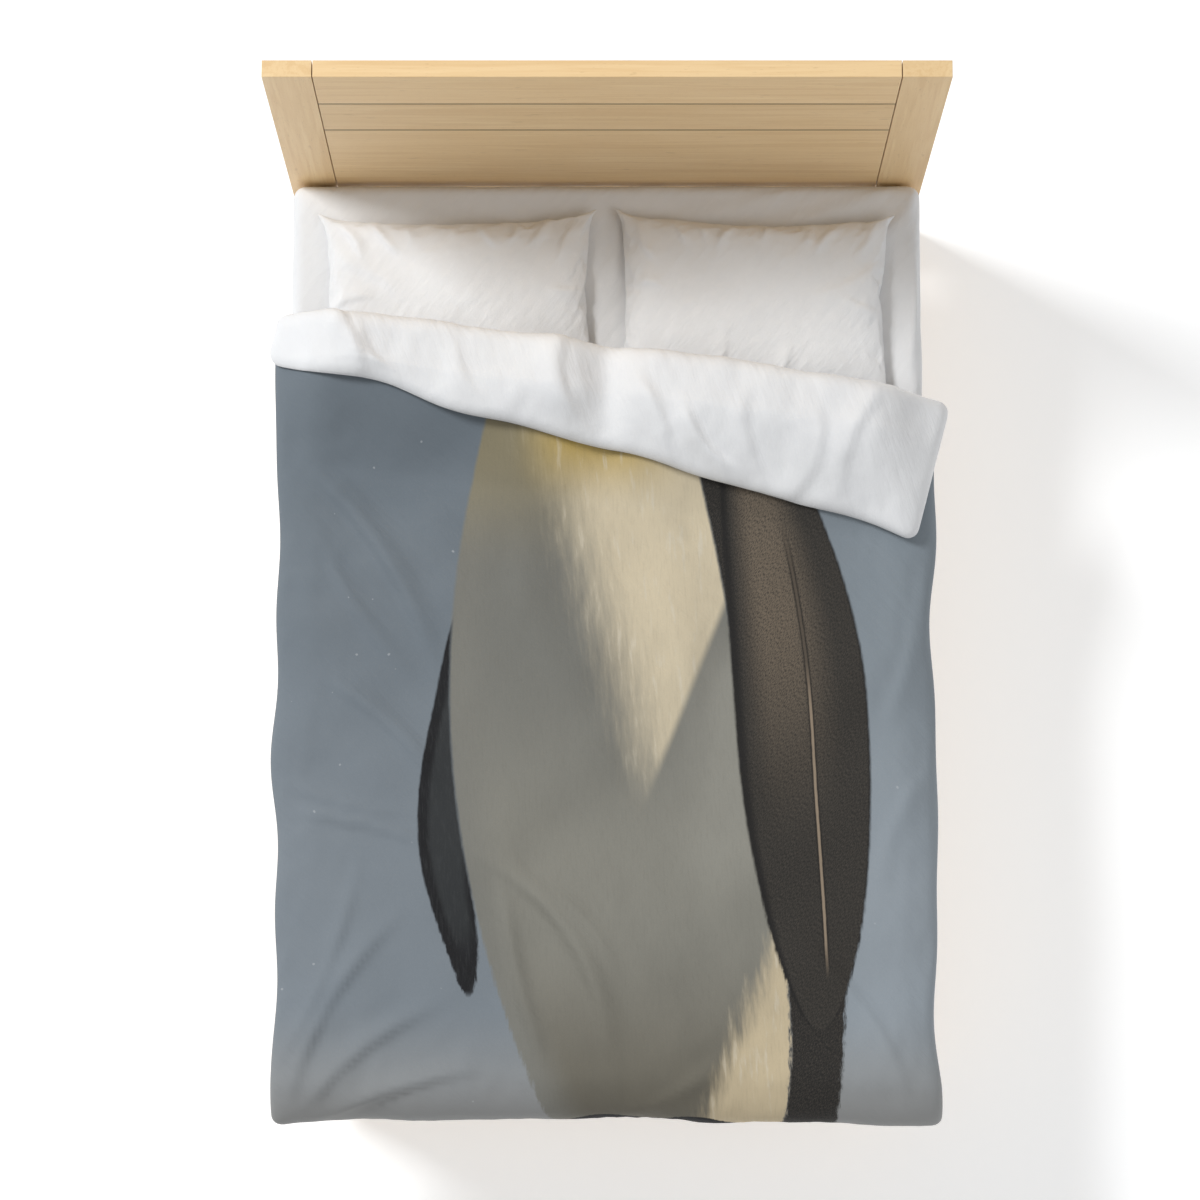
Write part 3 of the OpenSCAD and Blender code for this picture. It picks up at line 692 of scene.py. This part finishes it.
def make_duvet(printed, plain):
    """The duvet from the fold to the hem that hangs over the foot."""
    rim, hem_rim = 0.026, 0.018
    across = spread(-DUVET_HALF, DUVET_HALF, CLOTH_STEP, rim)
    before_fold, spare = 0.012, 0.09
    print_stretch = 1.18  # the print runs this much faster round the foot
    radius = BEND_IN + ROLL
    quarter = math.pi / 2 * radius
    flat_run = FOLD.y + spare - MATTRESS_FOOT
    total = flat_run + quarter + FOOT_DROP
    runs = np.concatenate([
        [0.0, 0.001, 0.004, 0.008, 0.013],
        np.linspace(0.020, flat_run, 128)[:-1],
        np.linspace(flat_run, flat_run + quarter, 14)[:-1],
        np.linspace(flat_run + quarter, total - 0.016, 7),
        total - np.array([0.011, 0.0065, 0.003, 0.0008, 0.0]),
    ])
    x, run = np.meshgrid(across, runs, indexing="ij")
    head = fold_y(x) - before_fold
    stretched = (head - MATTRESS_FOOT) / flat_run
    y_flat = head - run * stretched
    turn = np.clip((run - flat_run) / radius, 0.0, math.pi / 2)
    hang = np.clip(run - flat_run - quarter, 0.0, None)
    y_flat = np.where(run > flat_run, MATTRESS_FOOT, y_flat)
    y = y_flat - radius * np.sin(turn)
    z = -radius * (1 - np.cos(turn)) - hang
    z = z + DUVET_Z + ROLL + rise(x, behind_fold(x, y_flat))
    z = z + side_droop(x) * (1 - 0.55 * turn / (math.pi / 2))

    # Wavy long sides and a wavy foot
    wave_side = 0.009 * waves(y_flat * 0 + 3.1 * np.sign(x), y, 0.30, 11, 6)
    x = x + wave_side * smooth(0.35, 0.70, np.abs(x))
    cover_v = np.where(run > flat_run, MATTRESS_FOOT - (run - flat_run) * print_stretch, y_flat)
    swell = smooth(0.3, 1.2, turn)
    bend_start = flat_run + 0.35 * quarter
    lower = np.clip((run - bend_start) / (total - bend_start), 0, 1)
    bulge = np.sin(math.pi * lower)
    y = y + bulge * (0.009 * waves(x, x * 0 + 1.3, 0.42, 12, 6) - 0.009)

    # Outward direction of the cloth
    ny, nz = -np.sin(turn), np.cos(turn)
    rim_side = rim_round(DUVET_HALF - np.abs(across), rim)[:, None]
    rim_ends = (rim_round(runs, hem_rim) * rim_round(total - runs, hem_rim))[None, :]
    puff = rim_side * rim_ends
    relief = duvet_relief(x, cover_v)
    hem = smooth(total - 0.06, total - 0.012, run)
    pucker = 0.0022 * np.sin(x * 150 + 3 * waves(x, x * 0, 0.25, 14, 5)) * hem
    up = puff * (ROLL - 0.0005) + (relief + pucker) * np.clip(puff * 1.3, 0, 1) * (1 - 0.5 * swell)
    down = puff * (ROLL - 0.002)
    low_relief = 0.35 * relief * np.clip(puff, 0, 1) * smooth(0.66, 0.69, np.abs(x))
    top = np.stack([x, y + ny * up, z + nz * up], axis=2)
    low = np.stack([x, y - ny * (down - low_relief), z - nz * (down - low_relief)], axis=2)
    floor_z = DUVET_Z - 0.0012
    over_bed = (np.abs(x) < 0.655) & (turn < 0.05)
    low[..., 2] = np.where(over_bed, np.maximum(low[..., 2], floor_z), low[..., 2])
    cloth = np.stack([x, cover_v, x * 0], axis=2)
    obj, low_start = shell("duvet_cloth", top, low, cloth)
    paint(obj, printed, plain)
    paint_low(obj, low_start)
    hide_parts("duvet_filling", "duvet_cover_print", "duvet_cover_back")
    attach(obj, "duvet")


FLAP_CREASES = [
    # start and end in metres along the fold and behind it, then width, height and bow
    ((-0.60, -0.02), (-0.50, 0.12), 0.020, 0.010, -0.02),
    ((-0.52, 0.00), (-0.44, 0.10), 0.016, 0.006, 0.02),
    ((-0.10, -0.02), (-0.05, 0.14), 0.028, 0.010, 0.02),
    ((0.05, 0.02), (0.16, 0.22), 0.022, 0.008, -0.02),
    ((0.17, 0.08), (0.30, 0.20), 0.016, 0.009, 0.02),
    ((0.30, 0.04), (0.36, 0.22), 0.020, 0.006, 0.02),
    ((0.46, 0.06), (0.40, 0.26), 0.024, 0.007, -0.03),
    ((0.58, 0.00), (0.52, 0.22), 0.022, 0.008, 0.02),
    ((-0.32, 0.02), (-0.26, 0.12), 0.022, 0.005, 0.01),
]


def flap_depth(x):
    """Length that is turned back at x, before it is folded."""
    return FLAP_AT_MIDDLE + x * math.tan(FOLD_ANGLE)


def make_flap(printed, plain):
    """The turned-back end: a half turn round the fold, then a layer that lies on the duvet."""
    turn_r = 0.0346
    rim, corner, hem_rim = 0.024, 0.030, 0.019
    stations = spread(FLAP_LEFT, FLAP_RIGHT, CLOTH_STEP, rim)
    sweep = np.linspace(-math.pi / 2, math.pi / 2, 15)
    tail = np.concatenate([np.linspace(0.0, 0.93, 30)[1:], [0.955, 0.975, 0.990, 0.998, 1.0]])
    n, m = len(stations), len(sweep) + len(tail)
    x0 = stations[:, None]
    to_end = np.minimum(x0 - FLAP_LEFT, FLAP_RIGHT - x0)
    depth = np.maximum(flap_depth(x0) - ROLL, 0.05) - corner * (1 - rim_round(to_end, corner))
    s = np.empty((n, m))
    up = np.empty((n, m))
    k = len(sweep)
    s[:, :k] = ROLL - turn_r * np.cos(sweep)[None, :]
    up[:, :k] = turn_r + turn_r * np.sin(sweep)[None, :]
    s[:, k:] = ROLL + depth * tail[None, :]
    up[:, k:] = 2 * turn_r
    out_s = np.concatenate([-np.cos(sweep), tail * 0])[None, :] + x0 * 0
    out_u = np.concatenate([np.sin(sweep), tail * 0 + 1])[None, :] + x0 * 0

    # The tail's own thickness ends in a rounded hem
    from_hem = depth * (1 - tail[None, :])
    t_tail = DUVET_T * rim_round(from_hem, hem_rim)
    t_turn = DUVET_T * (0.10 + 0.90 * smooth(-1.2, 0.6, sweep))[None, :] + x0 * 0
    thick = np.concatenate([t_turn, t_tail], axis=1)
    ends = rim_round(to_end, rim)
    thick = thick * ends

    w = x0 / math.cos(FOLD_ANGLE) - np.clip(s - ROLL, 0, None) * math.tan(FOLD_ANGLE)
    plan_x = w * ALONG.x + s * BEHIND.x
    lift = rise(plan_x, np.maximum(s, ROLL))
    base = DUVET_Z + lift + side_droop(plan_x) * 0.9
    relief = 0.0045 * waves(w, s, 0.26, 21) + 0.002 * waves(w, s * 0.7, 0.10, 22)
    relief = relief + 0.0018 * (1 - np.abs(waves(w, s * 0.5, 0.055, 23)))
    for start, end, width, height, bow in FLAP_CREASES:
        relief = relief + crease(w, s, start, end, width, height * FOLD_HEIGHT, bow)
    settle = smooth(-1.0, 1.2, np.concatenate([sweep, tail * 0 + 2]))[None, :]
    relief = relief * settle * np.clip(ends * 1.2, 0, 1)
    bow = 0.014 * np.cos(np.clip(w / 0.72, -1, 1) * math.pi / 2) * (1 - smooth(0.0, 0.06, s))
    near_hem = smooth(0.3, 1.0, np.concatenate([sweep * 0, tail]))[None, :]
    s = s - bow + 0.010 * waves(w, w * 0, 0.30, 24, 6) * near_hem

    def surface(side):
        """Points on the outer (1) or inner (-1) face."""
        centre = up - out_u * DUVET_T / 2
        centre_s = s - out_s * DUVET_T / 2
        reach = thick / 2 * side + (relief if side > 0 else 0.0)
        ss = centre_s + out_s * reach
        zz = base + centre + out_u * reach
        px = w * ALONG.x + ss * BEHIND.x
        py = FOLD.y + w * ALONG.y + ss * BEHIND.y
        return np.stack([px, py, zz], axis=2)

    outer, inner = surface(1), surface(-1)
    rim_mid = (outer + inner) / 2
    for grid in (outer, inner):
        grid[0, :], grid[-1, :] = rim_mid[0, :], rim_mid[-1, :]
        grid[:, 0], grid[:, -1] = rim_mid[:, 0], rim_mid[:, -1]
    travel = np.concatenate([turn_r * (sweep + math.pi / 2), math.pi * turn_r + tail * 0.0])
    along = travel[None, :] + np.concatenate([sweep[None, :] * 0 + x0 * 0, depth * tail], axis=1)
    cloth = np.stack([x0 + s * 0, fold_y(x0) + along - 0.03, s * 0], axis=2)
    obj, low_start = shell("turnback_cloth", outer, inner, cloth)
    paint(obj, plain, printed)
    paint_low(obj, low_start)
    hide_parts("turnback_filling", "turnback_cover_print", "turnback_cover_back")
    rise_dir = 0.6 * BEHIND + Vector((0, 0, 0.8))
    start = Vector((0, FOLD.y, DUVET_Z + FOLD_RISE)) + rise_dir * ROLL
    end = start + rise_dir * 0.043
    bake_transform(obj)


# ------------------------------------------------------------------ pillows

PILLOW_W, PILLOW_D = 0.655, 0.475


def soft_pillow(name, seed):
    """A knife-edged pillow: two flat panels sewn round the rim and blown up by the cloth solver."""
    n, m = 97, 71  # points across and down
    u = np.linspace(-1, 1, n)[:, None]
    v = np.linspace(-1, 1, m)[None, :]
    x = u * PILLOW_W / 2 * (1 + v * 0)
    y = v * PILLOW_D / 2 * (1 + u * 0)
    jitter = 0.0016 * waves(x, y, 0.07, seed) + 0.001 * waves(x, y, 0.035, seed + 1)
    dome = 0.020 * np.sqrt((1 - u ** 2) * (1 - v ** 2))
    ear = 1 + 0.022 * (u * v) ** 12
    top = np.stack([x * ear, y * ear, dome + jitter], axis=2)
    low = np.stack([x * ear, y * ear, -dome + jitter], axis=2)
    cloth = np.stack([x, y, x * 0], axis=2)
    obj, _ = shell(name, top, low, cloth)
    cloth_mod = obj.modifiers.new("fill", "CLOTH")
    settings = cloth_mod.settings
    settings.quality = 6
    settings.mass = 0.15
    settings.tension_stiffness = 18
    settings.compression_stiffness = 18
    settings.shear_stiffness = 6
    settings.bending_stiffness = 0.12
    settings.use_pressure = True
    settings.uniform_pressure_force = 2.2
    settings.effector_weights.gravity = 0
    cloth_mod.collision_settings.use_collision = False
    cloth_mod.point_cache.frame_start = 1
    cloth_mod.point_cache.frame_end = 30
    scene = bpy.context.scene
    last_frame = 19
    for number in range(1, last_frame + 1):
        scene.frame_set(number)
    posed = obj.evaluated_get(bpy.context.evaluated_depsgraph_get())
    settled = np.array([v.co for v in posed.data.vertices])
    obj.modifiers.clear()
    scene.frame_set(1)
    return obj, settled


PILLOW_CREASES = [
    # start, end, from the middle of the pillow, then width, height and bow
    ((-0.255, 0.185), (-0.205, 0.105), 0.009, 0.008, 0.006),
    ((-0.185, 0.190), (-0.125, 0.110), 0.008, 0.008, -0.006),
    ((-0.120, 0.192), (-0.100, 0.130), 0.007, 0.005, 0.004),
    ((-0.020, 0.190), (-0.010, 0.135), 0.008, 0.006, 0.004),
    ((0.040, 0.190), (0.085, 0.120), 0.008, 0.007, -0.006),
    ((0.130, 0.190), (0.110, 0.135), 0.007, 0.006, 0.004),
    ((0.190, 0.190), (0.150, 0.125), 0.008, 0.007, 0.005),
    ((0.255, 0.180), (0.215, 0.090), 0.010, 0.008, -0.008),
    ((-0.285, -0.010), (-0.180, 0.020), 0.014, 0.006, 0.010),
    ((0.285, 0.040), (0.190, 0.030), 0.012, 0.005, 0.008),
    ((-0.270, 0.100), (-0.120, 0.020), 0.020, 0.005, 0.015),
    ((-0.060, -0.190), (-0.080, -0.090), 0.010, 0.005, 0.006),
    ((0.100, -0.190), (0.060, -0.080), 0.010, 0.005, -0.006),
]


def place_pillow(name, node, nodes, seed, tilt, material):
    """A filled pillow at its CAD place, settled on the sheet and under the duvet."""
    lo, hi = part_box(node)
    obj, p = soft_pillow(name, seed)
    p = p - (p.max(0) + p.min(0)) / 2
    want = Vector((hi.x - lo.x + 0.008, hi.y - lo.y + 0.006, hi.z - lo.z + 0.004))
    p *= np.array(want) / (p.max(0) - p.min(0))
    # Flat below, where it rests on the sheet
    floor = -want.z / 2
    p[:, 2] = np.where(p[:, 2] < 0, np.maximum(p[:, 2] * 0.62, floor * 0.52), p[:, 2] * 1.05)
    sag = 0.006 * waves(p[:, 0], p[:, 1], 0.33, seed + 4)
    for start, end, width, height, bow in PILLOW_CREASES:
        turned = [(-a if seed % 2 else a, b) for a, b in (start, end)]
        sag = sag + crease(p[:, 0], p[:, 1], *turned, width, height, bow)
    p[:, 2] += np.where(p[:, 2] > 0, sag * smooth(0.0, 0.03, p[:, 2]), 0)
    c, s = math.cos(tilt), math.sin(tilt)
    x, y = p[:, 0] * c - p[:, 1] * s, p[:, 0] * s + p[:, 1] * c
    p[:, 0], p[:, 1] = x, y
    p[:, 2] += MATTRESS_TOP + 0.0015 - p[:, 2].min()
    p[:, 0] += (lo.x + hi.x) / 2
    p[:, 1] += (lo.y + hi.y) / 2
    # Keep below the duvet's underside, where that lies over it
    reach = behind_fold(p[:, 0], p[:, 1])
    roof = DUVET_Z + rise(p[:, 0], np.maximum(reach, 0.0)) - 0.006
    over = smooth(-0.10, -0.02, reach)
    p[:, 2] -= over * np.clip(p[:, 2] - roof, 0, None)
    obj.data.vertices.foreach_set("co", p.astype(np.float32).ravel())
    obj.data.update()
    sub = obj.modifiers.new("smooth", "SUBSURF")
    sub.levels = sub.render_levels = 1
    paint(obj, material)
    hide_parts(*nodes)
    return obj


# ------------------------------------------------------------------ mattress and sheet

def rounded_box(lo, hi, radius, step):
    """A bmesh box with rounded edges and corners, made from six joined grids."""
    mesh = bmesh.new()
    size = hi - lo
    lines = [spread(0.0, size[a], step, radius) for a in range(3)]
    for axis in range(3):
        b, c = (axis + 1) % 3, (axis + 2) % 3
        for end in (0, 1):
            grid = []
            for p in lines[b]:
                row = []
                for q in lines[c]:
                    point = Vector((0, 0, 0))
                    point[axis] = size[axis] * end
                    point[b], point[c] = p, q
                    row.append(mesh.verts.new(lo + point))
                grid.append(row)
            for i in range(len(grid) - 1):
                for j in range(len(grid[0]) - 1):
                    quad = [grid[i][j], grid[i + 1][j], grid[i + 1][j + 1], grid[i][j + 1]]
                    mesh.faces.new(quad if end else quad[::-1])
    bmesh.ops.remove_doubles(mesh, verts=mesh.verts, dist=1e-5)
    for v in mesh.verts:
        inner = Vector([min(max(v.co[a], lo[a] + radius), hi[a] - radius) for a in range(3)])
        away = v.co - inner
        if away.length > 1e-9:
            v.co = inner + away.normalized() * radius
    return mesh


def from_bmesh(name, mesh):
    """Turns the bmesh into a smooth-shaded object, and frees it."""
    data = bpy.data.meshes.new(name)
    mesh.to_mesh(data)
    mesh.free()
    data.polygons.foreach_set("use_smooth", [True] * len(data.polygons))
    obj = bpy.data.objects.new(name, data)
    bpy.context.collection.objects.link(obj)
    return obj


SHEET_CREASES = [
    # start, end, width, height, bow
    ((0.66, 0.95), (0.50, 0.78), 0.012, 0.005, 0.02),
    ((0.60, 0.96), (0.36, 0.88), 0.010, 0.004, 0.01),
    ((0.40, 0.96), (0.16, 0.90), 0.010, 0.003, 0.01),
    ((-0.66, 0.94), (-0.56, 0.80), 0.012, 0.003, 0.01),
    ((0.665, 0.80), (0.64, 0.55), 0.008, 0.004, 0.004),
    ((0.03, 0.93), (-0.02, 0.70), 0.010, 0.003, 0.01),
]


def make_sheet(material):
    """The fitted sheet: taut on top, gathered at the corners and tucked under."""
    lo, hi = SHEET_LO, SHEET_HI
    mesh = rounded_box(lo.copy(), Vector((hi.x, hi.y + 0.005, hi.z)), 0.028, 0.0165)
    tuck = 0.09
    gone = []
    for f in mesh.faces:
        at = f.calc_center_median()
        inside = lo.x + tuck < at.x < hi.x - tuck and lo.y + tuck < at.y < hi.y - tuck
        if inside and abs(f.normal.z) > 0.9 and at.z < lo.z + 0.002:
            gone.append(f)
    bmesh.ops.delete(mesh, geom=gone, context="FACES")
    mesh.normal_update()
    co = np.array([v.co for v in mesh.verts])
    no = np.array([v.normal for v in mesh.verts])
    x, y, z = co.T
    top = smooth(0.6, 0.98, no[:, 2])
    side = 1 - np.clip(np.abs(no[:, 2]) * 1.3, 0, 1)
    out = top * (0.0012 * waves(x, y, 0.22, 31) + 0.0006 * (1 - np.abs(waves(x, y, 0.06, 32))))
    for start, end, width, height, bow in SHEET_CREASES:
        out = out + top * crease(x, y, start, end, width, height * 2, bow)
    near_corner = np.exp(-((np.minimum(hi.x - np.abs(x), 9) ** 2
                            + np.minimum(hi.y - y, y - lo.y) ** 2) / 0.30 ** 2))
    gathers = np.sin((x + y) * 120 + 2.5 * waves(x, y + z, 0.15, 33)) * 0.0028
    out = out + side * near_corner * gathers * smooth(hi.z - 0.02, lo.z + 0.03, z)
    out = out + side * 0.0016 * waves(x + y, z * 1.6, 0.16, 34)
    co = co + no * (out - 0.001)[:, None]
    co[:, 0] = np.clip(co[:, 0], lo.x - 0.004, hi.x + 0.004)
    for v, p in zip(mesh.verts, co):
        v.co = p
    obj = from_bmesh("fitted_sheet_cloth", mesh)
    thick = obj.modifiers.new("cloth", "SOLIDIFY")
    thick.thickness = 0.0008
    thick.offset = -1
    paint(obj, material)
    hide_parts("fitted_sheet")
    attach(obj, "mattress")


def make_mattress(ticking):
    """The mattress, just inside its sheet."""
    gap = Vector((0.0035, 0.0035, 0.0035))
    mesh = rounded_box(SHEET_LO + gap, SHEET_HI - gap, 0.026, 0.045)
    obj = from_bmesh("mattress_body", mesh)
    paint(obj, ticking)
    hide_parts("mattress_core", "mattress_comfort_layer", "mattress_cover",
                "mattress_base_panel")
    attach(obj, "mattress")


def ticking_material():
    """Knitted mattress cloth with a diamond quilting line."""
    n = Nodes("mattress_ticking")
    where = n.coordinate()
    x, y, _ = n.split(where)
    turn = 2 * math.pi / 0.09
    a = n.maths("COSINE", n.times(n.plus(x, y), turn / 2))
    b = n.maths("COSINE", n.times(n.minus(x, y), turn / 2))
    quilt = n.times(n.maths("ABSOLUTE", a), n.maths("ABSOLUTE", b))
    quilt = n.step(quilt, 0.0, 0.35)
    knit = weave_height(n, where, 0.0022)
    tone = n.mix(quilt, (0.62, 0.62, 0.60, 1), (0.80, 0.80, 0.78, 1))
    normal = n.bump(quilt, 0.004, 0.8, n.bump(knit, 0.0003, 0.5))
    return n.finish(tone, 0.85, normal, Sheen_Weight=0.2)


def tape_material():
    """Off-white woven tape."""
    n = Nodes("woven_tape")
    where = n.coordinate()
    knit = weave_height(n, where, 0.0016)
    tone = n.mix(n.noise(where, 40.0, 3), (0.70, 0.70, 0.69, 1), (0.82, 0.82, 0.81, 1))
    return n.finish(tone, 0.8, n.bump(knit, 0.0003, 0.6))


# ------------------------------------------------------------------ zip

def box_into(mesh, centre, size):
    """Adds a box to the bmesh."""
    made = bmesh.ops.create_cube(mesh, size=1.0)["verts"]
    for v in made:
        v.co = Vector(centre) + Vector([v.co[a] * size[a] for a in range(3)])


def make_zip(tape, metal):
    """The closed zip under the hem: two tapes, a bead along each and rows of teeth."""
    lo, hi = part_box("zip_tape")
    slider_lo, slider_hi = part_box("zip_slider")
    y = (slider_lo.y + slider_hi.y) / 2
    z = lo.z
    tapes = bmesh.new()
    for side in (-1, 1):
        box_into(tapes, (0, y + side * 0.0052, z + 0.0022), (hi.x - lo.x - 0.04, 0.006, 0.0012))
        box_into(tapes, (0, y + side * 0.0022, z + 0.0018), (1.2, 0.0016, 0.0020))
    obj = from_bmesh("zip_tapes", tapes)
    bevel = obj.modifiers.new("edge", "BEVEL")
    bevel.width = 0.0004
    paint(obj, tape)
    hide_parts("zip_tape")
    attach(obj, "duvet")
    teeth = bmesh.new()
    pitch, count, first = 0.004, 298, -0.596
    for k in range(count):
        side = 1 if k % 2 else -1
        x = first + k * pitch
        box_into(teeth, (x, y + side * 0.0008, z + 0.0012), (pitch * 0.62, 0.0036, 0.0020))
    chain = from_bmesh("zip_teeth", teeth)
    paint(chain, metal)
    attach(chain, "duvet")


# ------------------------------------------------------------------ studio

def soft_light(name, place, target, size, power, colour):
    """A rectangular area light aimed at the target."""
    data = bpy.data.lights.new(name, "AREA")
    data.shape = "RECTANGLE"
    data.size, data.size_y = size
    data.energy = power
    data.color = colour
    obj = bpy.data.objects.new(name, data)
    obj.location = place
    obj.rotation_euler = (Vector(target) - Vector(place)).to_track_quat("-Z", "Y").to_euler()
    bpy.context.collection.objects.link(obj)


def studio():
    """Pale floor, soft light and the camera above the bed."""
    floor = mesh_object("floor", [(-30, -30, 0), (30, -30, 0), (30, 30, 0), (-30, 30, 0)],
                        [(0, 1, 2, 3)], smooth_faces=False)
    n = Nodes("pale_floor")
    tone = n.mix(n.noise(n.coordinate(), 1.3, 2), (0.90, 0.90, 0.90, 1), (0.915, 0.915, 0.915, 1))
    n.finish(tone, 0.9, Specular_IOR_Level=0.1, Emission_Color=(1, 1, 1, 1),
             Emission_Strength=0.34)
    paint(floor, n.material)

    world = bpy.data.worlds.new("studio")
    world.use_nodes = True
    world.node_tree.nodes["Background"].inputs[0].default_value = (1, 1, 1, 1)
    world.node_tree.nodes["Background"].inputs[1].default_value = 0.33
    bpy.context.scene.world = world
    cool = (0.955, 0.98, 1.0)
    soft_light("key", (-6.2, 3.6, 8.6), (0, 0, 0.5), (2.6, 2.6), 800, cool)
    soft_light("fill", (3.6, -2.4, 5.0), (0, 0, 0.5), (4.0, 4.0), 85, cool)

    scene = bpy.context.scene
    scene.view_settings.view_transform = "Standard"
    data = bpy.data.cameras.new("camera")
    data.lens = 126.6
    data.sensor_width = 36
    camera = bpy.data.objects.new("camera", data)
    tilt = math.radians(9.54)
    left_of_middle, off_headboard, over_mattress = 0.014, 2.394, 8.798
    camera.location = (-left_of_middle, HEAD_FACE - off_headboard, MATTRESS_TOP + over_mattress)
    camera.rotation_euler = (tilt, 0, 0)
    data.clip_end = 100
    bpy.context.collection.objects.link(camera)
    scene.camera = camera


# ------------------------------------------------------------------ the bed

dress_frame()
white_cover = cloth_material("white_cover", (0.84, 0.84, 0.845), (0.80, 0.80, 0.81))
white_pillow = cloth_material("white_pillowcase", (0.84, 0.84, 0.845), (0.81, 0.81, 0.815))
white_sheet = cloth_material("white_sheet", (0.82, 0.82, 0.825), (0.79, 0.79, 0.795), "object")
printed_cover = penguin_print("printed_cover")
woven_tape = tape_material()
zip_steel = steel_material("zip_steel", (0.62, 0.62, 0.62))

make_sheet(white_sheet)
make_mattress(ticking_material())
paint(frame["nodes"]["sheet_elastic"], woven_tape)
paint(frame["nodes"]["zip_slider"], zip_steel)
left = place_pillow("pillow_left", "pillow_left_case_front",
                    ["pillow_left_filling", "pillow_left_case_front", "pillow_left_case_back"],
                    42, math.radians(0.9), white_pillow)
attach(left, "pillow_left")
right = place_pillow("pillow_right", "pillow_right_case_front",
                     ["pillow_right_filling", "pillow_right_case_front", "pillow_right_case_back"],
                     57, math.radians(-1.1), white_pillow)
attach(right, "pillow_right")
make_duvet(printed_cover, white_cover)
make_flap(printed_cover, white_cover)
make_zip(woven_tape, zip_steel)
studio()
